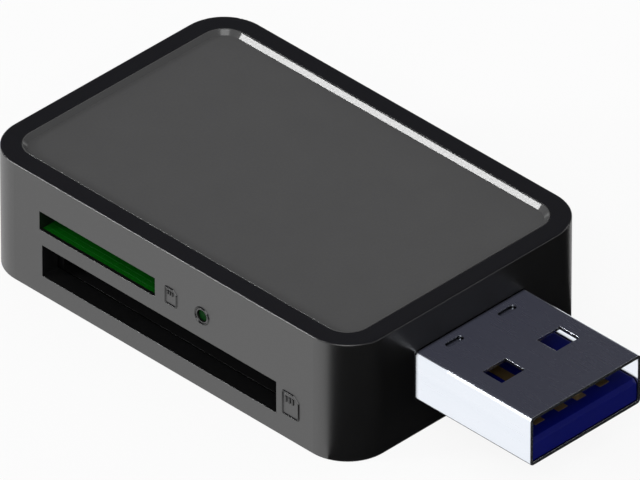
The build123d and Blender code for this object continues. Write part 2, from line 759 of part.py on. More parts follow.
def small_contact_x():
    """Places of the narrow socket's contacts."""
    middle = (SMALL_CONTACT_COUNT - 1) / 2
    return [SMALL_SLOT_X + SMALL_CONTACT_PITCH * (step - middle) for step in range(SMALL_CONTACT_COUNT)]


def small_detect_x():
    """Place of the spring that feels the small card, beside the first contact."""
    return small_contact_x()[0] - SMALL_DETECT_OFFSET


def small_contact(x, grow=0):
    """Spring of the narrow socket: foot on the board, then a sprung nose."""
    nose_y = small_stop - SMALL_CONTACT_REACH
    knee_y = small_stop - SMALL_CONTACT_RISE
    points = [
        (small_back + SMALL_CONTACT_FOOT, small_run_z),
        (knee_y, small_run_z),
        ((knee_y + 2 * nose_y) / 3, small_channel_floor + SMALL_CONTACT_RISE),
        (nose_y, small_channel_floor),
    ]
    return strip(
        Plane.YZ.offset(x),
        points,
        SMALL_CONTACT_SHEET + 2 * grow,
        SMALL_CONTACT_WIDTH + 2 * grow,
        SPRING_BEND,
    )


def small_socket_base():
    """Moulded tray of the narrow socket, open at the front, with spring slots and pegs."""
    base = cut_shoulders(
        block(about(SMALL_SLOT_X, small_half), (small_front, small_back), (BOARD_TOP, small_top))
    )
    inside = (small_front, small_stop)
    base -= block(about(SMALL_SLOT_X, small_channel_half), inside, (small_channel_floor, small_top))
    base = cut_lead_in(base, SMALL_LEAD_IN_RISE, SMALL_LEAD_IN_DEPTH)
    slot_half = SMALL_CONTACT_WIDTH / 2 + SPRING_SLOT_PLAY
    nose_room = small_stop - SMALL_CONTACT_REACH - SPRING_BEND
    for x in small_contact_x() + [small_detect_x()]:
        base -= block(about(x, slot_half), (nose_room, small_stop), (BOARD_TOP, small_channel_floor))
        base -= small_contact(x, SPRING_FIT)
    for side in (-1, 1):
        peg = (SMALL_SLOT_X + side * small_peg_x, small_peg_y)
        base += post(peg, PEG_DIAMETER, board_under + PEG_SINK, BOARD_TOP)
        for y in snap_places(small_front):
            base += block(
                about(SMALL_SLOT_X + side * small_half, COVER_SHEET),
                about(y, SNAP_LENGTH / 2),
                about((BOARD_TOP + small_top) / 2, SNAP_HEIGHT / 2),
            )
    return base


def small_socket_cover():
    """Steel cover of the narrow socket, soldered to the board along its skirts."""
    depth = (small_front + SMALL_COVER_SETBACK, small_back - SMALL_COVER_SETBACK)
    cover = folded_cover(SMALL_SLOT_X, small_half, small_top + COVER_SHEET, BOARD_TOP, depth)
    return cover - snap_windows(SMALL_SLOT_X, small_half, (BOARD_TOP + small_top) / 2, small_front)


def light_pipe():
    """Clear green pin in the wall, with a flange that holds it from the inside."""
    pin = extrude(Circle(PIPE_DIAMETER / 2), WALL - PIPE_RECESS)
    flange = extrude(Circle(PIPE_DIAMETER / 2 + PIPE_FLANGE), -PIPE_FLANGE_LENGTH)
    return Plane.XZ.offset(inner_y) * (Pos(LAMP_X, lamp_z, 0) * (pin + flange))


def activity_led():
    """Side-facing lamp that shines into the light pipe."""
    front = board_front + LAMP_GAP
    lamp = block(
        about(LAMP_X, LAMP_WIDTH / 2), (front, front + LAMP_DEPTH), (BOARD_TOP, BOARD_TOP + 2 * LAMP_RISE)
    )
    dish = extrude(Circle(LAMP_LENS_RADIUS), -LAMP_LENS_DEPTH)
    return lamp - Plane.XZ.offset(-front) * (Pos(LAMP_X, lamp_z, 0) * dish)


def chip_body(place, length, width, height):
    """Moulded package with a bevelled top edge."""
    low = BOARD_TOP + CHIP_STANDOFF
    body = block(about(place[0], length / 2), about(place[1], width / 2), (low, low + height))
    return chamfer(body.faces().sort_by(Axis.Z)[-1].edges(), CHIP_EDGE)


def gull_lead(edge, height, width):
    """Lead that leaves a package along +X at the given edge and steps down to the board."""
    shelf = BOARD_TOP + CHIP_STANDOFF + height / 2
    heel = edge + LEAD_REACH - LEAD_FOOT
    outline = Polyline(
        (edge + LEAD_GAP, shelf),
        (edge + LEAD_GAP, shelf + LEAD_SHEET),
        (heel - LEAD_SHEET, shelf + LEAD_SHEET),
        (heel + LEAD_SHEET, BOARD_TOP + LEAD_SHEET),
        (edge + LEAD_REACH, BOARD_TOP + LEAD_SHEET),
        (edge + LEAD_REACH, BOARD_TOP),
        (heel, BOARD_TOP),
        (heel - 2 * LEAD_SHEET, shelf),
        close=True,
    )
    return Plane.XZ * extrude(make_face(outline), width / 2, both=True)


def lead_row(edge, height, width, pitch, count, turn):
    """Row of leads along one side of a package, turned to that side."""
    lead = gull_lead(edge, height, width)
    middle = (count - 1) / 2
    return [Rot(0, 0, turn) * (Pos(0, pitch * (step - middle), 0) * lead) for step in range(count)]


def controller_leads():
    """Leads on all four sides of the controller."""
    leads = []
    for turn in (0, 90, 180, 270):
        leads += lead_row(
            CONTROLLER_SIZE / 2, CONTROLLER_HEIGHT, LEAD_WIDTH, CONTROLLER_PITCH, CONTROLLER_SIDE_COUNT, turn
        )
    return Compound([Pos(*CONTROLLER_PLACE) * lead for lead in leads])


def regulator_leads():
    """Three leads on one side of the regulator and two on the other."""
    half = REGULATOR_WIDTH / 2
    leads = lead_row(half, REGULATOR_HEIGHT, REGULATOR_LEAD_WIDTH, REGULATOR_PITCH, 3, 270)
    leads += lead_row(half, REGULATOR_HEIGHT, REGULATOR_LEAD_WIDTH, 2 * REGULATOR_PITCH, 2, 90)
    return Compound([Pos(*REGULATOR_PLACE) * lead for lead in leads])


def crystal_can():
    """Ceramic tray with a smaller metal cap."""
    x, y = CRYSTAL_PLACE
    tray_top = BOARD_TOP + CRYSTAL_BASE
    tray = block(about(x, CRYSTAL_LENGTH / 2), about(y, CRYSTAL_WIDTH / 2), (BOARD_TOP, tray_top))
    cap = block(
        about(x, CRYSTAL_LENGTH / 2 - CRYSTAL_LEDGE),
        about(y, CRYSTAL_WIDTH / 2 - CRYSTAL_LEDGE),
        (tray_top, tray_top + CRYSTAL_CAP),
    )
    return tray + cap


def esd_array(y):
    """Flat protection array between the plug's tails and the controller."""
    return block(
        about(ARRAY_X, ARRAY_WIDTH / 2), about(y, ARRAY_LENGTH / 2), (BOARD_TOP, BOARD_TOP + ARRAY_HEIGHT)
    )


def end_capped(place, size):
    """Small part lying along Y: a body with a slightly larger metal cap at each end."""
    x, y = place
    width, height = size[1] / 2, size[2]
    step = END_CAP_RISE
    half = size[0] / 2
    body = block(about(x, width - step), about(y, half), (BOARD_TOP + step, BOARD_TOP + height - step))
    caps = [
        block(about(x, width), limits, (BOARD_TOP, BOARD_TOP + height))
        for limits in ((y - half, y - half + END_CAP), (y + half - END_CAP, y + half))
    ]
    return body + caps


def numbered(name, pieces):
    """Node names for like pieces, counted from one."""
    return {f"{name}_{count}": piece for count, piece in enumerate(pieces, start=1)}


def row_of(start, spacing, count, size):
    """Row of like small parts along X."""
    return [end_capped((start[0] + spacing * step, start[1]), size) for step in range(count)]


nodes = {
    "base_housing": base_housing(),
    "lid_panel": lid_panel(),
    "circuit_board": circuit_board(),
    "light_pipe": light_pipe(),
    "activity_led": activity_led(),
    "plug_shell": plug_shell(),
    "plug_insulator": plug_insulator(),
    "large_socket_base": large_socket_base(),
    "large_socket_cover": large_socket_cover(),
    "large_detect_spring": large_leaf(-1),
    "large_protect_spring": large_leaf(1),
    "small_socket_base": small_socket_base(),
    "small_socket_cover": small_socket_cover(),
    "small_detect_spring": small_contact(small_detect_x()),
    "controller_chip": chip_body(CONTROLLER_PLACE, CONTROLLER_SIZE, CONTROLLER_SIZE, CONTROLLER_HEIGHT),
    "controller_leads": controller_leads(),
    "regulator_chip": chip_body(REGULATOR_PLACE, REGULATOR_LENGTH, REGULATOR_WIDTH, REGULATOR_HEIGHT),
    "regulator_leads": regulator_leads(),
    "crystal_can": crystal_can(),
    "bulk_capacitor": end_capped(BULK_PLACE, BULK_SIZE),
}
nodes |= numbered("plug_contact", [front_contact(y) for y in front_contact_places])
nodes |= numbered("plug_rear_contact", [rear_contact(y) for y in rear_contact_places])
nodes |= numbered("large_contact", [large_contact(x) for x in large_contact_x()])
nodes |= numbered("small_contact", [small_contact(x) for x in small_contact_x()])
nodes |= numbered("esd_array", [esd_array(y) for y in about(0, ARRAY_SPACING / 2)])
nodes |= numbered("capacitor", row_of(CAPACITOR_START, CAPACITOR_SPACING, CAPACITOR_COUNT, CAPACITOR_SIZE))
nodes |= numbered("resistor", row_of(RESISTOR_START, RESISTOR_SPACING, RESISTOR_COUNT, RESISTOR_SIZE))

os.makedirs("parts", exist_ok=True)
for name, solid in nodes.items():
    export_step(solid, f"parts/{name}.step")
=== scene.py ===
"""Card reader with a fixed plug: finishes, moulded signs, studio and camera.

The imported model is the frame. Its pieces keep their shape and place and get their finishes here, and the
signs on the slot face are added as low moulded ribs. Lengths are written in millimetres, as on a drawing,
and turned into metres where they reach the scene.
"""

from __future__ import annotations

import logging
import math
from dataclasses import dataclass
from enum import Enum
from typing import Any

import bpy
import numpy as np
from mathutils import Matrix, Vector

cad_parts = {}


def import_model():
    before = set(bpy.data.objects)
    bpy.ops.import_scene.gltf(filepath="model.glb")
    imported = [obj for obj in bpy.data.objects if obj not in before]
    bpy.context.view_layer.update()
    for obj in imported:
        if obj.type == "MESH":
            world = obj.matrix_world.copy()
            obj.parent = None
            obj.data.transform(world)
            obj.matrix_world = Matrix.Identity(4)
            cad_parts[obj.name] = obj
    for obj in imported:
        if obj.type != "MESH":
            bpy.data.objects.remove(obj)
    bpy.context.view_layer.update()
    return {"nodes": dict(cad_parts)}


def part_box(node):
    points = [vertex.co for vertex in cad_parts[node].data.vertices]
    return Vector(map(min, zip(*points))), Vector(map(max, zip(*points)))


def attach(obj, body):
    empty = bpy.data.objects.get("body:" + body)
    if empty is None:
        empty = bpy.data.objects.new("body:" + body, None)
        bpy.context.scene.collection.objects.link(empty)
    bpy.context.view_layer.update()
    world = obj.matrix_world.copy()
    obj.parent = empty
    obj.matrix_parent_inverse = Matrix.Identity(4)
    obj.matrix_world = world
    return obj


LOG = logging.getLogger("card_reader")
MM = 0.001
BODY = "root"

# Noise textures give values that lie mostly between these two
NOISE_LOW = 0.3
NOISE_HIGH = 0.7

# Size of the colour's drift on rolled metal, over the width of a streak
DRIFT_RATIO = 8

Colour = tuple[float, float, float, float]
Socket = bpy.types.NodeSocket
Tree = bpy.types.NodeTree


def linear(code: str) -> Colour:
    """Turn an sRGB hex colour into linear light.

    Args:
        code: Six hex digits with a leading hash.

    Returns:
        Red, green, blue and an alpha of one.
    """
    parts = np.array([int(code[place : place + 2], 16) for place in (1, 3, 5)]) / 255
    light = np.where(parts <= 0.04045, parts / 12.92, ((parts + 0.055) / 1.055) ** 2.4)
    return (float(light[0]), float(light[1]), float(light[2]), 1.0)


def add_node(
    tree: Tree, kind: str, settings: dict[str, Any] | None = None, inputs: dict[str | int, Any] | None = None
) -> bpy.types.Node:
    """Add a node, set its options, and fill or link its inputs.

    Args:
        tree: Node tree that takes the node.
        kind: Blender's type name of the node, without the word ShaderNode before it.
        settings: Options on the node itself.
        inputs: Input sockets by name or number, each with a value or another node's output.

    Returns:
        The new node.
    """
    node = tree.nodes.new("ShaderNode" + kind)
    for name, value in (settings or {}).items():
        setattr(node, name, value)
    for key, value in (inputs or {}).items():
        if isinstance(value, Socket):
            tree.links.new(value, node.inputs[key])
        else:
            node.inputs[key].default_value = value
    return node


def per_metre(size_mm: float) -> float:
    """Texture scale, in repeats per metre, of a pattern of the given size."""
    return 1 / (size_mm * MM)


def mottled(
    tree: Tree, place: Socket, size_mm: float, colours: tuple[str, str], detail: float = 2.0
) -> Socket:
    """Colour that wanders between two colours in soft clouds.

    Args:
        tree: Node tree of the material.
        place: Where the clouds are read.
        size_mm: Size of the clouds.
        colours: The two sRGB hex colours.
        detail: Number of finer layers in the clouds.

    Returns:
        The colour.
    """
    clouds = add_node(
        tree, "TexNoise", inputs={"Vector": place, "Scale": per_metre(size_mm), "Detail": detail}
    )
    first, second = (linear(code) for code in colours)
    mixed = add_node(
        tree, "Mix", {"data_type": "RGBA"}, {"Factor": clouds.outputs["Fac"], 6: first, 7: second}
    )
    return mixed.outputs[2]


class Axis(Enum):
    """Direction in which a sheet was rolled, as an index into X, Y and Z."""

    X = 0
    Y = 1
    Z = 2


@dataclass(frozen=True)
class Finish:
    """A surface finish that builds one material.

    Attributes:
        name: Common name of the real material.
    """

    name: str

    def build(self) -> bpy.types.Material:
        """Make the finish's material.

        Returns:
            The new material, with its shader joined to the output.
        """
        material = bpy.data.materials.new(self.name)
        material.use_nodes = True
        tree = material.node_tree
        tree.nodes.clear()
        add_node(tree, "OutputMaterial", inputs={"Surface": self.shader(tree)})
        return material

    def shader(self, tree: Tree) -> Socket:
        """Build the finish's nodes and return the shader's output."""
        raise NotImplementedError


@dataclass(frozen=True)
class MouldedPlastic(Finish):
    """Opaque plastic from a spark-eroded mould.

    The mould's fine pits give an even grain that breaks up the gloss, and its flow gives faint clouds in
    the colour. Edges are very slightly round, so they catch a thin line of light.

    Attributes:
        colour: Main colour.
        cloud_colour: Colour of the faint clouds.
        roughness: Roughness of the smoothest spots.
        roughness_spread: How much rougher the roughest spots are.
        ior: Index of refraction.
        grain_mm: Size of the grain.
        grain_depth_mm: Height of the grain.
        cloud_mm: Size of the clouds.
        edge_mm: Radius of the edges.
    """

    colour: str
    cloud_colour: str
    roughness: float
    roughness_spread: float
    ior: float
    grain_mm: float
    grain_depth_mm: float
    cloud_mm: float
    edge_mm: float

    def shader(self, tree: Tree) -> Socket:
        """Build clouds, grain and rounded edges round one shader.

        Args:
            tree: Node tree of the material.

        Returns:
            The shader's output.
        """
        place = add_node(tree, "TexCoord").outputs["Object"]
        tint = mottled(tree, place, self.cloud_mm, (self.colour, self.cloud_colour), detail=3.0)
        grain = add_node(
            tree, "TexNoise", inputs={"Vector": place, "Scale": per_metre(self.grain_mm), "Detail": 2.0}
        )
        edge = add_node(tree, "Bevel", {"samples": 6}, {"Radius": self.edge_mm * MM})
        bump = add_node(
            tree,
            "Bump",
            inputs={
                "Strength": self.grain_strength(tree),
                "Distance": self.grain_depth_mm * MM,
                "Height": grain.outputs["Fac"],
                "Normal": edge.outputs["Normal"],
            },
        )
        plastic = add_node(
            tree,
            "BsdfPrincipled",
            inputs={
                "Base Color": tint,
                "Roughness": self.gloss(tree, grain.outputs["Fac"]),
                "IOR": self.ior,
                "Normal": bump.outputs["Normal"],
            },
        )
        return plastic.outputs["BSDF"]

    def gloss(self, tree: Tree, grain: Socket) -> Socket:
        """Roughness that follows the grain.

        Args:
            tree: Node tree of the material.
            grain: Height of the grain.

        Returns:
            The roughness.
        """
        spread = add_node(
            tree,
            "MapRange",
            inputs={
                "Value": grain,
                "From Min": NOISE_LOW,
                "From Max": NOISE_HIGH,
                "To Min": self.roughness,
                "To Max": self.roughness + self.roughness_spread,
            },
        )
        return spread.outputs["Result"]

    def grain_strength(self, tree: Tree) -> float | Socket:
        """Share of the grain's height that shows: all of it."""
        return 1.0


@dataclass(frozen=True)
class BevelledPlastic(MouldedPlastic):
    """Moulded plastic with polished bevels round its level faces.

    Attributes:
        bevel_roughness: Roughness of the polished bevels.
        level_tilt: Tilt in degrees up to which a face counts as level.
        bevel_tilt: Tilt in degrees from which it counts as a bevel.
    """

    bevel_roughness: float
    level_tilt: float = 10.0
    bevel_tilt: float = 25.0

    def levelness(self, tree: Tree) -> Socket:
        """Tell level faces from bevels by the upward part of their direction.

        Args:
            tree: Node tree of the material.

        Returns:
            One on level faces and nought on bevels.
        """
        facing = add_node(tree, "TexCoord").outputs["Normal"]
        upward = add_node(tree, "SeparateXYZ", inputs={"Vector": facing}).outputs["Z"]
        level = add_node(
            tree,
            "MapRange",
            inputs={
                "Value": upward,
                "From Min": math.cos(math.radians(self.bevel_tilt)),
                "From Max": math.cos(math.radians(self.level_tilt)),
            },
        )
        return level.outputs["Result"]

    def gloss(self, tree: Tree, grain: Socket) -> Socket:
        """Roughness that follows the grain on level faces and is low on bevels.

        Args:
            tree: Node tree of the material.
            grain: Height of the grain.

        Returns:
            The roughness.
        """
        mixed = add_node(
            tree,
            "Mix",
            {"data_type": "FLOAT"},
            {0: self.levelness(tree), 2: self.bevel_roughness, 3: super().gloss(tree, grain)},
        )
        return mixed.outputs[0]

    def grain_strength(self, tree: Tree) -> float | Socket:
        """Share of the grain's height that shows: none on the bevels."""
        return self.levelness(tree)


@dataclass(frozen=True)
class RolledMetal(Finish):
    """Sheet metal with rolling marks under a thin plating.

    The rolls leave long fine streaks along the sheet, which spread a highlight across them, and the
    plating's colour drifts a little from place to place.

    Attributes:
        colour: Colour of the plating.
        drift_colour: Colour that the plating drifts to.
        roughness: Roughness of the brightest streaks.
        roughness_spread: How much rougher the dullest streaks are.
        streak_mm: Width of a streak.
        streak_depth_mm: Height of a streak.
        streak_ratio: Length of a streak over its width.
        along: Direction of the streaks.
        edge_mm: Radius of the sheared edges.
    """

    colour: str
    drift_colour: str
    roughness: float
    roughness_spread: float
    streak_mm: float
    streak_depth_mm: float
    streak_ratio: float
    along: Axis
    edge_mm: float

    def shader(self, tree: Tree) -> Socket:
        """Build streaks, drift and soft edges round one shader.

        Args:
            tree: Node tree of the material.

        Returns:
            The shader's output.
        """
        place = add_node(tree, "TexCoord").outputs["Object"]
        stretch = [1.0, 1.0, 1.0]
        stretch[self.along.value] = 1 / self.streak_ratio
        turned = add_node(tree, "Mapping", inputs={"Vector": place, "Scale": stretch})
        streaks = add_node(
            tree,
            "TexNoise",
            inputs={
                "Vector": turned.outputs["Vector"],
                "Scale": per_metre(self.streak_mm),
                "Detail": 4.0,
                "Roughness": 0.6,
            },
        )
        gloss = add_node(
            tree,
            "MapRange",
            inputs={
                "Value": streaks.outputs["Fac"],
                "From Min": NOISE_LOW,
                "From Max": NOISE_HIGH,
                "To Min": self.roughness,
                "To Max": self.roughness + self.roughness_spread,
            },
        )
        edge = add_node(tree, "Bevel", {"samples": 6}, {"Radius": self.edge_mm * MM})
        bump = add_node(
            tree,
            "Bump",
            inputs={
                "Strength": 1.0,
                "Distance": self.streak_depth_mm * MM,
                "Height": streaks.outputs["Fac"],
                "Normal": edge.outputs["Normal"],
            },
        )
        metal = add_node(
            tree,
            "BsdfPrincipled",
            inputs={
                "Base Color": self.tint(tree, turned.outputs["Vector"]),
                "Metallic": 1.0,
                "Roughness": gloss.outputs["Result"],
                "Normal": bump.outputs["Normal"],
            },
        )
        return metal.outputs["BSDF"]

    def tint(self, tree: Tree, place: Socket) -> Socket:
        """Colour of the plating, with its drift."""
        return mottled(tree, place, DRIFT_RATIO * self.streak_mm, (self.colour, self.drift_colour))


@dataclass(frozen=True)
class RecessShadedMetal(RolledMetal):
    """Rolled metal with painted shade in its recesses: its colour is darkened where other faces are near.

    Attributes:
        recess_shade_colour: Colour of the painted shade deep in a recess.
        recess_mm: Distance within which other faces make a recess.
        recess_open: Openness of a place, from nought to one, below which the shade is painted in full.
        clear_open: Openness above which no shade is painted.
    """

    recess_shade_colour: str
    recess_mm: float
    recess_open: float = 0.5
    clear_open: float = 0.94

    def tint(self, tree: Tree, place: Socket) -> Socket:
        """Colour of the plating, with painted shade in recesses.

        Args:
            tree: Node tree of the material.
            place: Where the colour's drift is read.

        Returns:
            The colour.
        """
        # Painted shade: ambient occlusion darkens the plating where other faces are close by
        near = add_node(
            tree, "AmbientOcclusion", {"samples": 8}, {"Distance": self.recess_mm * MM}
        )
        clean = add_node(
            tree,
            "MapRange",
            inputs={
                "Value": near.outputs["AO"],
                "From Min": self.recess_open,
                "From Max": self.clear_open,
            },
        )
        mixed = add_node(
            tree,
            "Mix",
            {"data_type": "RGBA"},
            {
                "Factor": clean.outputs["Result"],
                6: linear(self.recess_shade_colour),
                7: super().tint(tree, place),
            },
        )
        return mixed.outputs[2]


@dataclass(frozen=True)
class LacqueredBoard(Finish):
    """Glass-fibre board under green solder lacquer.

    Copper tracks under the lacquer stand a little proud and show as a lighter green, and the lacquer
    itself is glossy.

    Attributes:
        colour: Lacquer over bare board.
        track_colour: Lacquer over copper.
        track_mm: Spacing of the tracks.
        track_height_mm: Height of a track under the lacquer.
        roughness: Roughness of the lacquer.
        ior: Index of refraction of the lacquer.
        track_share: Width of a track, as a share of the spacing.
        track_softness: Softness of a track's edges.
        track_reach: Distance between cross tracks, as a multiple of the spacing.
    """

    colour: str
    track_colour: str
    track_mm: float
    track_height_mm: float
    roughness: float
    ior: float
    track_share: float = 0.12
    track_softness: float = 0.2
    track_reach: float = 3.0

    def shader(self, tree: Tree) -> Socket:
        """Build a field of tracks under gloss lacquer.

        Args:
            tree: Node tree of the material.

        Returns:
            The shader's output.
        """
        place = add_node(tree, "TexCoord").outputs["Object"]
        tracks = add_node(
            tree,
            "TexBrick",
            {"offset": 0.5, "squash": 1.0},
            {
                "Vector": place,
                "Scale": per_metre(self.track_mm),
                "Color1": (0.0, 0.0, 0.0, 1.0),
                "Color2": (0.0, 0.0, 0.0, 1.0),
                "Mortar": (1.0, 1.0, 1.0, 1.0),
                "Mortar Size": self.track_share,
                "Mortar Smooth": self.track_softness,
                "Brick Width": self.track_reach,
                "Row Height": 1.0,
            },
        )
        tint = add_node(
            tree,
            "Mix",
            {"data_type": "RGBA"},
            {"Factor": tracks.outputs["Color"], 6: linear(self.colour), 7: linear(self.track_colour)},
        )
        bump = add_node(
            tree,
            "Bump",
            inputs={
                "Strength": 1.0,
                "Distance": self.track_height_mm * MM,
                "Height": tracks.outputs["Color"],
            },
        )
        lacquer = add_node(
            tree,
            "BsdfPrincipled",
            inputs={
                "Base Color": tint.outputs[2],
                "Roughness": self.roughness,
                "IOR": self.ior,
                "Normal": bump.outputs["Normal"],
            },
        )
        return lacquer.outputs["BSDF"]


@dataclass(frozen=True)
class TintedClear(Finish):
    """Dyed clear plastic with a polished end.

    Light goes in and comes back coloured, with a faint haze from the moulding's flow.

    Attributes:
        colour: Colour of the dye.
        haze_colour: Colour of the haze.
        haze_mm: Size of the haze's clouds.
        roughness: Roughness of the polished end.
        clearness: Share of the light that goes through.
        ior: Index of refraction.
    """

    colour: str
    haze_colour: str
    haze_mm: float
    roughness: float
    clearness: float
    ior: float

    def shader(self, tree: Tree) -> Socket:
        """Build a hazy dyed shader.

        Args:
            tree: Node tree of the material.

        Returns:
            The shader's output.
        """
        place = add_node(tree, "TexCoord").outputs["Object"]
        tint = mottled(tree, place, self.haze_mm, (self.colour, self.haze_colour))
        clear = add_node(
            tree,
            "BsdfPrincipled",
            inputs={
                "Base Color": tint,
                "Roughness": self.roughness,
                "IOR": self.ior,
                "Transmission Weight": self.clearness,
            },
        )
        return clear.outputs["BSDF"]


@dataclass(frozen=True)
class CappedChip(Finish):
    """Ceramic chip part with tinned ends.

    The fired body is matt and speckled, and both ends are bright tin.

    Attributes:
        colour: Colour of the fired body.
        speck_colour: Colour of its specks.
        tin_colour: Colour of the tinned ends.
        speck_mm: Size of the specks.
        first_mm: Place along X of the first part's middle.
        spacing_mm: Spacing of the parts along X.
        body_mm: Length of the bare body between the ends.
        body_roughness: Roughness of the fired body.
        tin_roughness: Roughness of the tinned ends.
    """

    colour: str
    speck_colour: str
    tin_colour: str
    speck_mm: float
    first_mm: float
    spacing_mm: float
    body_mm: float
    body_roughness: float = 0.55
    tin_roughness: float = 0.3

    def shader(self, tree: Tree) -> Socket:
        """Build a body and tinned ends, told apart by the distance from the nearest part's middle.

        Args:
            tree: Node tree of the material.

        Returns:
            The shader's output.
        """
        place = add_node(tree, "TexCoord").outputs["Object"]
        along = add_node(tree, "SeparateXYZ", inputs={"Vector": place}).outputs["X"]
        from_first = add_node(
            tree, "Math", {"operation": "SUBTRACT"}, {0: along, 1: self.first_mm * MM}
        )
        from_middle = add_node(
            tree,
            "Math",
            {"operation": "WRAP"},
            {0: from_first.outputs[0], 1: self.spacing_mm * MM / 2, 2: -self.spacing_mm * MM / 2},
        )
        distance = add_node(tree, "Math", {"operation": "ABSOLUTE"}, {0: from_middle.outputs[0]})
        tinned = add_node(
            tree, "Math", {"operation": "GREATER_THAN"}, {0: distance.outputs[0], 1: self.body_mm * MM / 2}
        )
        fired = mottled(tree, place, self.speck_mm, (self.colour, self.speck_colour), detail=3.0)
        tint = add_node(
            tree,
            "Mix",
            {"data_type": "RGBA"},
            {"Factor": tinned.outputs[0], 6: fired, 7: linear(self.tin_colour)},
        )
        gloss = add_node(
            tree,
            "MapRange",
            inputs={
                "Value": tinned.outputs[0],
                "To Min": self.body_roughness,
                "To Max": self.tin_roughness,
            },
        )
        chip = add_node(
            tree,
            "BsdfPrincipled",
            inputs={
                "Base Color": tint.outputs[2],
                "Metallic": tinned.outputs[0],
                "Roughness": gloss.outputs["Result"],
            },
        )
        return chip.outputs["BSDF"]


# Satin black ABS: nearly black, with a soft gloss that mirrors a white table as an even grey
BLACK_ABS = MouldedPlastic(
    name="abs_satin_black",
    colour="#070708",
    cloud_colour="#0b0b0c",
    roughness=0.32,
    roughness_spread=0.06,
    ior=1.95,
    grain_mm=0.16,
    grain_depth_mm=0.0012,
    cloud_mm=3.0,
    edge_mm=0.05,
)

# Polished black ABS: the signs' ribs, smoother than the face, so their edges draw fine bright lines
POLISHED_ABS = MouldedPlastic(
    name="abs_polished_black",
    colour="#0b0b0c",
    cloud_colour="#0f0f10",
    roughness=0.2,
    roughness_spread=0.05,
    ior=1.6,
    grain_mm=0.16,
    grain_depth_mm=0.0004,
    cloud_mm=3.0,
    edge_mm=0.02,
)

# Matt grey ABS: a flat mid-dark grey whose coarser grain keeps reflections dull, inside a polished bevel
# that draws a bright line along the far side
GREY_ABS = BevelledPlastic(
    name="abs_matt_grey",
    colour="#4f4f4f",
    cloud_colour="#535353",
    roughness=0.5,
    roughness_spread=0.12,
    ior=1.54,
    grain_mm=0.2,
    grain_depth_mm=0.003,
    cloud_mm=3.0,
    edge_mm=0.05,
    bevel_roughness=0.16,
)

# Blue PBT: a deep, slightly glossy blue
BLUE_PBT = MouldedPlastic(
    name="pbt_blue",
    colour="#010858",
    cloud_colour="#020a62",
    roughness=0.3,
    roughness_spread=0.08,
    ior=1.4,
    grain_mm=0.12,
    grain_depth_mm=0.001,
    cloud_mm=1.5,
    edge_mm=0.03,
)

# Black LCP: a deep black with faint clouds from its fibres
BLACK_LCP = MouldedPlastic(
    name="lcp_black",
    colour="#060607",
    cloud_colour="#0a0a0b",
    roughness=0.38,
    roughness_spread=0.1,
    ior=1.5,
    grain_mm=0.1,
    grain_depth_mm=0.002,
    cloud_mm=0.8,
    edge_mm=0.03,
)

# Black epoxy: dead matt, with the fine sand of its filler
BLACK_EPOXY = MouldedPlastic(
    name="epoxy_black",
    colour="#131313",
    cloud_colour="#1c1c1c",
    roughness=0.55,
    roughness_spread=0.15,
    ior=1.55,
    grain_mm=0.06,
    grain_depth_mm=0.002,
    cloud_mm=0.5,
    edge_mm=0.03,
)

# Matt black card: takes light away where the housing's right-hand faces mirror the floor
BLACK_CARD = MouldedPlastic(
    name="card_matt_black",
    colour="#0c0c0c",
    cloud_colour="#121212",
    roughness=0.9,
    roughness_spread=0.1,
    ior=1.4,
    grain_mm=0.5,
    grain_depth_mm=0.01,
    cloud_mm=20.0,
    edge_mm=0.01,
)

# White PPA: the bright opaque body of a small lamp
WHITE_PPA = MouldedPlastic(
    name="ppa_white",
    colour="#e6e6e0",
    cloud_colour="#dcdcd4",
    roughness=0.35,
    roughness_spread=0.1,
    ior=1.55,
    grain_mm=0.08,
    grain_depth_mm=0.001,
    cloud_mm=0.5,
    edge_mm=0.03,
)

# Nickel-plated steel: a bright, cool satin, streaked along the plug by the rolls, with painted shade in its
# dents
NICKEL_STEEL = RecessShadedMetal(
    name="steel_nickel_plated",
    colour="#f0f4fb",
    drift_colour="#e8edf5",
    roughness=0.24,
    roughness_spread=0.04,
    streak_mm=0.1,
    streak_depth_mm=0.0002,
    streak_ratio=40.0,
    along=Axis.X,
    edge_mm=0.06,
    recess_shade_colour="#16171b",
    recess_mm=0.4,
)

# Stainless sheet: greyer than nickel, with the same rolled streaks
STAINLESS_SHEET = RolledMetal(
    name="steel_stainless_sheet",
    colour="#c9cbce",
    drift_colour="#bcbfc4",
    roughness=0.24,
    roughness_spread=0.1,
    streak_mm=0.1,
    streak_depth_mm=0.0004,
    streak_ratio=40.0,
    along=Axis.Y,
    edge_mm=0.05,
)

# Gold over nickel on a copper-alloy spring: warm and bright along the draw
GOLD_PLATING = RolledMetal(
    name="copper_alloy_gold_plated",
    colour="#d2b67c",
    drift_colour="#c4a670",
    roughness=0.46,
    roughness_spread=0.1,
    streak_mm=0.06,
    streak_depth_mm=0.0003,
    streak_ratio=20.0,
    along=Axis.X,
    edge_mm=0.03,
)

# Tin plating on copper leads: pale and slightly dull
TIN_PLATING = RolledMetal(
    name="copper_tin_plated",
    colour="#cfd0d2",
    drift_colour="#c2c3c6",
    roughness=0.3,
    roughness_spread=0.12,
    streak_mm=0.08,
    streak_depth_mm=0.0003,
    streak_ratio=4.0,
    along=Axis.Z,
    edge_mm=0.02,
)

# Solder lacquer on glass fibre: a deep green gloss with lighter tracks
GREEN_LACQUER = LacqueredBoard(
    name="glass_fibre_green_lacquer",
    colour="#005205",
    track_colour="#025c0c",
    track_mm=0.5,
    track_height_mm=0.02,
    roughness=0.35,
    ior=1.5,
)

# Green-dyed polycarbonate: a dark clear green that glows when it is lit from behind
GREEN_PC = TintedClear(
    name="polycarbonate_green",
    colour="#03300a",
    haze_colour="#04380c",
    haze_mm=0.4,
    roughness=0.5,
    clearness=0.15,
    ior=1.15,
)


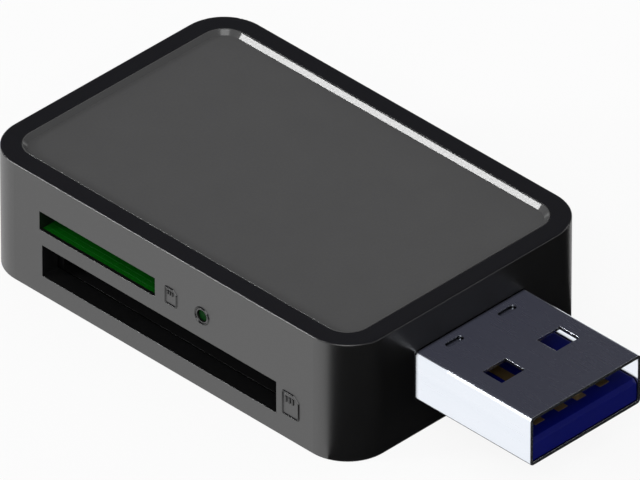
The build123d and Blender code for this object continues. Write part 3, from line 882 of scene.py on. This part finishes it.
@dataclass
class Assembly:
    """Group of the frame's pieces that are dressed together.

    Attributes:
        nodes: The frame's pieces by name.
    """

    nodes: dict[str, bpy.types.Object]

    def named(self, *starts: str) -> list[str]:
        """Names of the pieces that begin with any of the given words, in order."""
        return sorted(name for name in self.nodes if name.startswith(starts))

    def give(self, names: list[str], finish: Finish) -> None:
        """Give some of the pieces a finish.

        Args:
            names: Names of the pieces.
            finish: Their finish.
        """
        material = finish.build()
        for name in names:
            for slot in self.nodes[name].material_slots:
                slot.material = material
            LOG.info("%s: %s", name, finish.name)


def new_piece(name: str, points: np.ndarray, faces: np.ndarray) -> bpy.types.Object:
    """Put a computed surface into the scene.

    Args:
        name: Name of the piece.
        points: Corners in metres, one row each.
        faces: Quads as rows of four corner numbers, in order seen from outside.

    Returns:
        The new object, at the origin.
    """
    mesh = bpy.data.meshes.new(name)
    mesh.from_pydata(points.tolist(), [], faces.tolist())
    mesh.validate()
    piece = bpy.data.objects.new(name, mesh)
    bpy.context.scene.collection.objects.link(piece)
    return piece


@dataclass
class Outline:
    """Closed line on the slot face, with the outward direction at each of its points.

    Attributes:
        points: Rows of X and Z in millimetres, turning from X towards Z.
        outward: Unit rows that point out of the outline.
    """

    points: np.ndarray
    outward: np.ndarray

    @staticmethod
    def rounded(corners: np.ndarray, radius: float, steps: int) -> Outline:
        """Convex polygon with rounded corners.

        Each corner becomes an arc, from the outward direction of the side before it to that of the side
        after it, about the point that lies one radius inside both sides.

        Args:
            corners: Rows of X and Z, turning from X towards Z.
            radius: Radius of every corner.
            steps: Points on each arc.

        Returns:
            The rounded outline.
        """
        sides = np.roll(corners, -1, axis=0) - corners
        sides = sides / np.linalg.norm(sides, axis=1, keepdims=True)
        after = np.stack([sides[:, 1], -sides[:, 0]], axis=1)
        before = np.roll(after, 1, axis=0)
        meet = 1 + np.sum(before * after, axis=1, keepdims=True)
        centres = corners - radius * (before + after) / meet
        start = np.arctan2(before[:, 1], before[:, 0])
        turn = np.mod(np.arctan2(after[:, 1], after[:, 0]) - start, 2 * math.pi)
        angle = start[:, None] + turn[:, None] * np.linspace(0, 1, steps)[None, :]
        outward = np.stack([np.cos(angle), np.sin(angle)], axis=2)
        points = centres[:, None, :] + radius * outward
        return Outline(points.reshape(-1, 2), outward.reshape(-1, 2))

    @staticmethod
    def circle(middle: tuple[float, float], radius: float, steps: int) -> Outline:
        """Circle about a middle.

        Args:
            middle: X and Z of the middle.
            radius: Radius of the circle.
            steps: Evenly spaced points on it.

        Returns:
            The circle as an outline.
        """
        angle = np.linspace(0, 2 * math.pi, steps, endpoint=False)
        outward = np.stack([np.cos(angle), np.sin(angle)], axis=1)
        return Outline(np.array(middle) + radius * outward, outward)


@dataclass(frozen=True)
class RibSection:
    """Section of a low moulded rib, in millimetres.

    Attributes:
        foot: Width where the rib leaves the face.
        crest: Width of its flat top.
        height: How far it stands proud of the face.
        sink: How far its foot reaches into the face.
    """

    foot: float = 0.22
    crest: float = 0.06
    height: float = 0.09
    sink: float = 0.02

    def corners(self) -> np.ndarray:
        """Corners as rows of offset across the rib and height above the face."""
        return np.array(
            [
                [-self.foot / 2, -self.sink],
                [-self.crest / 2, self.height],
                [self.crest / 2, self.height],
                [self.foot / 2, -self.sink],
            ]
        )

    def carry(self, name: str, outline: Outline, face_y: float) -> bpy.types.Object:
        """Carry the section along an outline on the slot face.

        A corner of the rib is a point of the outline, moved along its outward direction by the section's
        offset and out of the face by the section's height.

        Args:
            name: Name of the piece.
            outline: Line that the rib follows.
            face_y: Place of the slot face along Y, in millimetres.

        Returns:
            The rib as one closed ring.
        """
        section = self.corners()
        across = outline.points[:, None, :] + outline.outward[:, None, :] * section[None, :, 0:1]
        out = np.broadcast_to(face_y - section[None, :, 1], across.shape[:2])
        points = np.stack([across[:, :, 0], out, across[:, :, 1]], axis=2).reshape(-1, 3) * MM
        number = np.arange(len(points)).reshape(across.shape[:2])
        beside = np.roll(number, -1, axis=1)
        faces = np.stack(
            [number, beside, np.roll(beside, -1, axis=0), np.roll(number, -1, axis=0)], axis=2
        )
        return new_piece(name, points, faces.reshape(-1, 4))

    def pads(self, name: str, outlines: list[Outline], face_y: float) -> bpy.types.Object:
        """Raise a flat pad on the slot face for each of some outlines with equally many points.

        A pad's top is its outline at the section's height. Its foot is the same outline, moved out by the
        width of the section's slope and sunk into the face. Strips between facing points of the outline
        close both ends, so its number of points is even.

        Args:
            name: Name of the piece.
            outlines: Edges of the pads' tops.
            face_y: Place of the slot face along Y, in millimetres.

        Returns:
            All the pads as one piece.
        """
        slope = (self.foot - self.crest) / 2
        tops = np.stack([outline.points for outline in outlines])
        feet = tops + slope * np.stack([outline.outward for outline in outlines])
        across = np.stack([feet, tops], axis=1)
        depth = np.array([face_y + self.sink, face_y - self.height])
        out = np.broadcast_to(depth[None, :, None], across.shape[:3])
        points = np.stack([across[..., 0], out, across[..., 1]], axis=3).reshape(-1, 3) * MM
        number = np.arange(len(points)).reshape(across.shape[:3])
        beside = np.roll(number, -1, axis=2)
        sides = np.stack([number[:, 0], beside[:, 0], beside[:, 1], number[:, 1]], axis=2)
        step = np.arange(across.shape[2] // 2 - 1)
        strips = np.stack([step, step + 1, -2 - step, -1 - step], axis=1)
        ends = np.concatenate([number[:, 1][:, strips], number[:, 0][:, strips[:, ::-1]]])
        return new_piece(name, points, np.concatenate([sides.reshape(-1, 4), ends.reshape(-1, 4)]))


@dataclass
class Housing(Assembly):
    """Moulded tub, lid and light pipe, with a sign beside each slot and a ring round the lamp.

    Attributes:
        rib: Section of the signs' ribs.
        bar: Section of the bars that stand for a card's contacts.
        bar_size: Width and height of a bar, as shares of the sign's.
        bar_places: Places of the bars across a sign, from its middle, as shares of its width.
        bar_rise: Height of the bars above the sign's middle, as a share of its height.
        bar_corner: Radius of the bars' corners.
        sign_corner: Radius of the card signs' corners.
        sign_cut: How far the cut corner of a card sign goes, as a share of its width.
        corner_steps: Points on each rounded corner.
        ring_steps: Points round the lamp's ring.
        ring_radius: Radius of the lamp's ring.
        large_sign: X and Z of the middle of the sign beside the wide slot.
        large_sign_size: Its width and height.
        small_sign: X and Z of the middle of the sign beside the narrow slot.
        small_sign_size: Its width and height.
    """

    rib: RibSection = RibSection()
    bar: RibSection = RibSection(foot=0.1, crest=0.04, height=0.07)
    bar_size: tuple[float, float] = (0.11, 0.24)
    bar_places: tuple[float, ...] = (-0.28, -0.07, 0.14)
    bar_rise: float = 0.2
    bar_corner: float = 0.04
    sign_corner: float = 0.14
    sign_cut: float = 0.32
    corner_steps: int = 6
    ring_steps: int = 48
    ring_radius: float = 0.72
    large_sign: tuple[float, float] = (13.85, 3.25)
    large_sign_size: tuple[float, float] = (1.7, 2.1)
    small_sign: tuple[float, float] = (0.9, 6.9)
    small_sign_size: tuple[float, float] = (1.2, 1.5)

    def card_outline(self, middle: tuple[float, float], size: tuple[float, float]) -> Outline:
        """Upright card with one corner cut off.

        Args:
            middle: X and Z of the card's middle.
            size: Its width and height.

        Returns:
            The rounded outline.
        """
        half_width, half_height = size[0] / 2, size[1] / 2
        cut = self.sign_cut * size[0]
        corners = np.array(
            [
                [-half_width, -half_height],
                [half_width, -half_height],
                [half_width, half_height - cut],
                [half_width - cut, half_height],
                [-half_width, half_height],
            ]
        )
        return Outline.rounded(corners + np.array(middle), self.sign_corner, self.corner_steps)

    def bar_outlines(self, middle: tuple[float, float], size: tuple[float, float]) -> list[Outline]:
        """Upright bars inside a card sign.

        Args:
            middle: X and Z of the card's middle.
            size: Its width and height.

        Returns:
            One rounded outline for each bar.
        """
        half = np.array(self.bar_size) * np.array(size) / 2
        corners = np.array([[-1, -1], [1, -1], [1, 1], [-1, 1]]) * half
        shares = np.array([[place, self.bar_rise] for place in self.bar_places])
        places = np.array(middle) + shares * np.array(size)
        return [Outline.rounded(corners + place, self.bar_corner, self.corner_steps) for place in places]

    def build(self) -> list[bpy.types.Object]:
        """Make the signs.

        Returns:
            The two card signs, the lamp's ring, and the bars inside the card signs.
        """
        face_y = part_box("base_housing")[0][1] / MM
        pipe_low, pipe_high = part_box("light_pipe")
        lamp = ((pipe_low[0] + pipe_high[0]) / 2 / MM, (pipe_low[2] + pipe_high[2]) / 2 / MM)
        outlines = {
            "large_card_sign": self.card_outline(self.large_sign, self.large_sign_size),
            "small_card_sign": self.card_outline(self.small_sign, self.small_sign_size),
            "lamp_ring": Outline.circle(lamp, self.ring_radius, self.ring_steps),
        }
        bars = {
            "large_card_bars": self.bar_outlines(self.large_sign, self.large_sign_size),
            "small_card_bars": self.bar_outlines(self.small_sign, self.small_sign_size),
        }
        ribs = [self.rib.carry(name, outline, face_y) for name, outline in outlines.items()]
        return ribs + [self.bar.pads(name, group, face_y) for name, group in bars.items()]

    def dress(self) -> None:
        """Give the mouldings their plastics, and set the signs on the tub."""
        self.give(["base_housing"], BLACK_ABS)
        self.give(["lid_panel"], GREY_ABS)
        self.give(["light_pipe"], GREEN_PC)
        polished = POLISHED_ABS.build()
        for sign in self.build():
            sign.data.materials.append(polished)
            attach(sign, BODY)
            LOG.info("%s: %s", sign.name, POLISHED_ABS.name)


@dataclass
class Plug(Assembly):
    """Folded steel shell with a blue tongue and two rows of gold contacts."""

    def dress(self) -> None:
        """Give the shell, the tongue and the contacts their finishes."""
        self.give(["plug_shell"], NICKEL_STEEL)
        self.give(["plug_insulator"], BLUE_PBT)
        self.give(self.named("plug_contact", "plug_rear_contact"), GOLD_PLATING)


@dataclass
class CardSockets(Assembly):
    """The two card sockets: moulded bases, folded covers and sprung contacts."""

    def dress(self) -> None:
        """Give bases, covers and springs their finishes."""
        self.give(["large_socket_base", "small_socket_base"], BLACK_LCP)
        self.give(["large_socket_cover", "small_socket_cover"], STAINLESS_SHEET)
        springs = ("large_contact", "large_detect", "large_protect", "small_contact", "small_detect")
        self.give(self.named(*springs), GOLD_PLATING)


@dataclass
class Board(Assembly):
    """Lacquered circuit board and the small parts soldered to it.

    Attributes:
        tinned_end: Length of a chip part's tinned end.
        lone_spacing: Spacing that keeps a pattern of one part from repeating.
    """

    tinned_end: float = 0.3
    lone_spacing: float = 20.0

    def middle_x(self, name: str) -> float:
        """Place along X of a piece's middle, in millimetres."""
        low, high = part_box(name)
        return (low[0] + high[0]) / 2 / MM

    def capped(self, start: str, name: str, colour: str, speck_colour: str) -> None:
        """Dress a row of chip parts that lie along X.

        Args:
            start: First word of the parts' names.
            name: Name of their finish.
            colour: Colour of the fired bodies.
            speck_colour: Colour of their specks.
        """
        row = self.named(start)
        low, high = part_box(row[0])
        spacing = self.lone_spacing
        if len(row) > 1:
            spacing = self.middle_x(row[1]) - self.middle_x(row[0])
        finish = CappedChip(
            name=name,
            colour=colour,
            speck_colour=speck_colour,
            tin_colour="#cfd0d2",
            speck_mm=0.08,
            first_mm=self.middle_x(row[0]),
            spacing_mm=spacing,
            body_mm=(high[0] - low[0]) / MM - 2 * self.tinned_end,
        )
        self.give(row, finish)

    def dress(self) -> None:
        """Give the board and its parts their finishes."""
        self.give(["circuit_board"], GREEN_LACQUER)
        self.give(["controller_chip", "regulator_chip"] + self.named("esd_array"), BLACK_EPOXY)
        self.give(["controller_leads", "regulator_leads"], TIN_PLATING)
        self.give(["crystal_can"], NICKEL_STEEL)
        self.give(["activity_led"], WHITE_PPA)
        self.capped("capacitor", "ceramic_tan", "#a58a68", "#8f7656")
        self.capped("bulk_capacitor", "ceramic_brown", "#8a7050", "#775f42")
        self.capped("resistor", "ceramic_glazed_black", "#141414", "#1e1e1e")


@dataclass(frozen=True)
class PaintedFloor(Finish):
    """Matt white paint on a studio floor, as a clean white ground with the object's soft shadow.

    Attributes:
        colour: Colour of the paint.
        patch_colour: Colour of its faint patches.
        patch_mm: Size of the patches.
        roughness: Roughness of the paint.
        veil: Share of plain white that the camera, clear parts and mirroring faces see over the paint.
    """

    colour: str = "#f1f1f1"
    patch_colour: str = "#efefef"
    patch_mm: float = 60.0
    roughness: float = 0.7
    veil: float = 0.9

    def shader(self, tree: Tree) -> Socket:
        """Build lit paint under a veil of plain white.

        Args:
            tree: Node tree of the material.

        Returns:
            The shader's output.
        """
        place = add_node(tree, "TexCoord").outputs["Object"]
        tint = mottled(tree, place, self.patch_mm, (self.colour, self.patch_colour))
        paint = add_node(
            tree,
            "BsdfPrincipled",
            inputs={
                "Base Color": tint,
                "Roughness": self.roughness,
                "Specular IOR Level": 0.2,
            },
        )
        white = add_node(tree, "Emission", inputs={"Color": linear("#ffffff"), "Strength": 1.0})
        ray = add_node(tree, "LightPath")
        seen = ray.outputs["Is Camera Ray"]
        for kind in ("Is Transmission Ray", "Is Glossy Ray"):
            seen = add_node(
                tree, "Math", {"operation": "MAXIMUM"}, {0: seen, 1: ray.outputs[kind]}
            ).outputs[0]
        share = add_node(tree, "Math", {"operation": "MULTIPLY"}, {0: seen, 1: self.veil})
        mixed = add_node(
            tree,
            "MixShader",
            inputs={0: share.outputs[0], 1: paint.outputs["BSDF"], 2: white.outputs["Emission"]},
        )
        return mixed.outputs["Shader"]


@dataclass(frozen=True)
class CardPaper(Finish):
    """Studio card whose front glows in one even colour, as a painted reflection for the faces that mirror
    it.

    Attributes:
        front: Colour that the front glows with.
        through: Colour that the back lets through: black hides what is behind it, white shows it.
    """

    front: str
    through: str

    def shader(self, tree: Tree) -> Socket:
        """Build an even front and a dark or clear back.

        Args:
            tree: Node tree of the material.

        Returns:
            The shader's output.
        """
        behind = add_node(tree, "NewGeometry").outputs["Backfacing"]
        # Painted reflection: the front glows with its own light
        front = add_node(tree, "Emission", inputs={"Color": linear(self.front), "Strength": 1.0})
        back = add_node(tree, "BsdfTransparent", inputs={"Color": linear(self.through)})
        mixed = add_node(
            tree, "MixShader", inputs={0: behind, 1: front.outputs["Emission"], 2: back.outputs["BSDF"]}
        )
        return mixed.outputs["Shader"]


# White card with a black back: it glows white, a painted reflection that makes a steel wall which mirrors it
# plain white, and nothing shows from behind
WHITE_CARD = CardPaper("card_white_and_black", "#ffffff", "#000000")

# Grey card with a clear back: it glows as dark as the room overhead, a painted reflection over the plug's
# rear end
GREY_CARD = CardPaper("card_grey", "#3a3a43", "#ffffff")


@dataclass(frozen=True)
class StudioCard:
    """Flat card that only mirroring faces see.

    Attributes:
        name: Name of the card.
        finish: Its finish.
        corners: X, Y and Z of its corners in millimetres, in order seen from its front.
    """

    name: str
    finish: Finish
    corners: tuple[tuple[float, float, float], ...]

    def place(self) -> bpy.types.Object:
        """Put the card into the scene.

        Returns:
            The card.
        """
        card = new_piece(self.name, np.array(self.corners) * MM, np.arange(len(self.corners))[None, :])
        card.data.materials.append(self.finish.build())
        card.visible_camera = False
        card.visible_diffuse = False
        card.visible_shadow = False
        return card


@dataclass(frozen=True)
class StudioLamp:
    """Soft lamp, so far off that its light is even.

    Attributes:
        name: Name of the lamp.
        towards: Direction from the object to the lamp.
        strength: Light that it casts on a surface that faces it.
        spread: Width of the lamp as the object sees it, in degrees.
    """

    name: str
    towards: tuple[float, float, float]
    strength: float
    spread: float

    def hang(self) -> bpy.types.Object:
        """Put the lamp into the scene.

        Returns:
            The lamp's object.
        """
        light = bpy.data.lights.new(self.name, "SUN")
        light.energy = self.strength
        light.angle = math.radians(self.spread)
        lamp = bpy.data.objects.new(self.name, light)
        lamp.rotation_mode = "QUATERNION"
        lamp.rotation_quaternion = Vector(self.towards).to_track_quat("Z", "Y")
        bpy.context.scene.collection.objects.link(lamp)
        return lamp


@dataclass
class Studio:
    """White floor, three soft lamps, cards for the reflections, a room with a white horizon, and the camera.

    Attributes:
        floor_side: Side of the square floor, in metres.
        lamps: A low key lamp on the left, one above it for the lid's bevel, and a wide fill lamp beside the
            camera.
        cards: A dark one on the floor that keeps the housing's right-hand faces black, white ones beside the
            plug's near wall and inside its far wall, and a grey one over the plug's rear end.
        fill: Brightness of the room for soft light.
        ceiling_colour: Colour of the room overhead, as glossy surfaces show it.
        horizon_low: Height above the horizon, in degrees, up to which the room is white.
        horizon_high: Height from which it has the ceiling's colour.
        camera_back: Direction from the object to the camera.
        camera_target: Point that the camera looks at, in millimetres.
        camera_distance: From that point to the camera, in millimetres.
        camera_lens: Focal length on a sensor 36 mm wide.
    """

    floor_side: float = 6.0
    lamps: tuple[StudioLamp, ...] = (
        StudioLamp("key_lamp", (-0.6, -0.74, 0.32), 0.9, 10.0),
        StudioLamp("bevel_lamp", (-1.0, -1.0, 1.0), 0.25, 7.0),
        StudioLamp("fill_lamp", (0.5, -0.6, 0.75), 1.0, 40.0),
    )
    cards: tuple[StudioCard, ...] = (
        StudioCard(
            "floor_card",
            BLACK_CARD,
            ((17.6, -80.0, 0.05), (90.0, -80.0, 0.05), (90.0, 70.0, 0.05), (17.6, 70.0, 0.05)),
        ),
        StudioCard(
            "near_wall_card",
            WHITE_CARD,
            ((20.02, -6.06, 3.0), (20.02, -6.06, 7.8), (34.0, -6.06, 7.8), (34.0, -6.06, 3.0)),
        ),
        StudioCard(
            "far_wall_card",
            WHITE_CARD,
            ((20.6, 5.6, 5.45), (20.6, 5.6, 7.35), (32.2, 5.6, 7.35), (32.2, 5.6, 5.45)),
        ),
        StudioCard(
            "rear_end_card",
            GREY_CARD,
            ((20.06, -9.4, 7.72), (20.06, 9.4, 7.72), (20.06, 9.4, 10.88), (20.06, -9.4, 10.88)),
        ),
    )
    fill: float = 0.5
    ceiling_colour: str = "#3a3a43"
    horizon_low: float = 3.0
    horizon_high: float = 12.0
    camera_back: tuple[float, float, float] = (1.0, -1.0, 1.0)
    camera_target: tuple[float, float, float] = (0.164, 3.6, 3.436)
    camera_distance: float = 1642.4
    camera_lens: float = 1200.0

    def floor(self) -> bpy.types.Object:
        """Flat square floor, an even grid of points at the height of zero.

        Returns:
            The floor.
        """
        side = np.array([-0.5, 0.5]) * self.floor_side
        across, along = np.meshgrid(side, side, indexing="ij")
        points = np.stack([across, along, np.zeros_like(across)], axis=2).reshape(-1, 3)
        floor = new_piece("floor", points, np.array([[0, 2, 3, 1]]))
        floor.data.materials.append(PaintedFloor("paint_matt_white").build())
        return floor

    def room(self) -> bpy.types.World:
        """Room with even soft light: white to the camera, a white horizon and a dark ceiling in reflections.

        Returns:
            The world.
        """
        world = bpy.data.worlds.new("studio_room")
        world.use_nodes = True
        tree = world.node_tree
        tree.nodes.clear()
        direction = add_node(tree, "TexCoord").outputs["Generated"]
        height = add_node(tree, "SeparateXYZ", inputs={"Vector": direction}).outputs["Z"]
        rise = add_node(
            tree,
            "MapRange",
            {"interpolation_type": "SMOOTHSTEP"},
            {
                "Value": height,
                "From Min": math.sin(math.radians(self.horizon_low)),
                "From Max": math.sin(math.radians(self.horizon_high)),
            },
        )
        mirrored = add_node(
            tree,
            "Mix",
            {"data_type": "RGBA"},
            {"Factor": rise.outputs["Result"], 6: linear("#ffffff"), 7: linear(self.ceiling_colour)},
        )
        ray = add_node(tree, "LightPath")
        fill = (self.fill, self.fill, self.fill, 1.0)
        inside = add_node(
            tree,
            "Mix",
            {"data_type": "RGBA"},
            {"Factor": ray.outputs["Is Glossy Ray"], 6: fill, 7: mirrored.outputs[2]},
        )
        seen = add_node(
            tree,
            "Math",
            {"operation": "MAXIMUM"},
            {0: ray.outputs["Is Camera Ray"], 1: ray.outputs["Is Transmission Ray"]},
        )
        colour = add_node(
            tree,
            "Mix",
            {"data_type": "RGBA"},
            {"Factor": seen.outputs[0], 6: inside.outputs[2], 7: linear("#ffffff")},
        )
        light = add_node(
            tree, "Background", inputs={"Color": colour.outputs[2], "Strength": 1.0}
        )
        add_node(tree, "OutputWorld", inputs={"Surface": light.outputs["Background"]})
        bpy.context.scene.world = world
        return world

    def camera(self) -> bpy.types.Object:
        """Long-lens camera on the isometric line of sight.

        Returns:
            The camera's object.
        """
        data = bpy.data.cameras.new("camera")
        data.sensor_width = 36.0
        data.lens = self.camera_lens
        data.clip_start = 0.01
        data.clip_end = 10.0
        camera = bpy.data.objects.new("camera", data)
        back = Vector(self.camera_back).normalized()
        camera.location = Vector(self.camera_target) * MM + back * self.camera_distance * MM
        camera.rotation_mode = "QUATERNION"
        camera.rotation_quaternion = back.to_track_quat("Z", "Y")
        bpy.context.scene.collection.objects.link(camera)
        bpy.context.scene.camera = camera
        return camera

    def build(self) -> None:
        """Set up floor, cards, lamps, room and camera, and the plain way of showing colours."""
        self.floor()
        for card in self.cards:
            card.place()
        for lamp in self.lamps:
            lamp.hang()
        self.room()
        self.camera()
        bpy.context.scene.view_settings.view_transform = "Standard"
        LOG.info("studio: floor, %d cards, %d lamps, room and camera", len(self.cards), len(self.lamps))


def main() -> None:
    """Dress the frame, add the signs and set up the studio."""
    logging.basicConfig(level=logging.INFO, format="%(name)s: %(message)s")
    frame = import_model()
    nodes = frame["nodes"]
    for assembly in (Housing(nodes), Plug(nodes), CardSockets(nodes), Board(nodes)):
        assembly.dress()
    Studio().build()


if __name__ == "__main__":
    main()
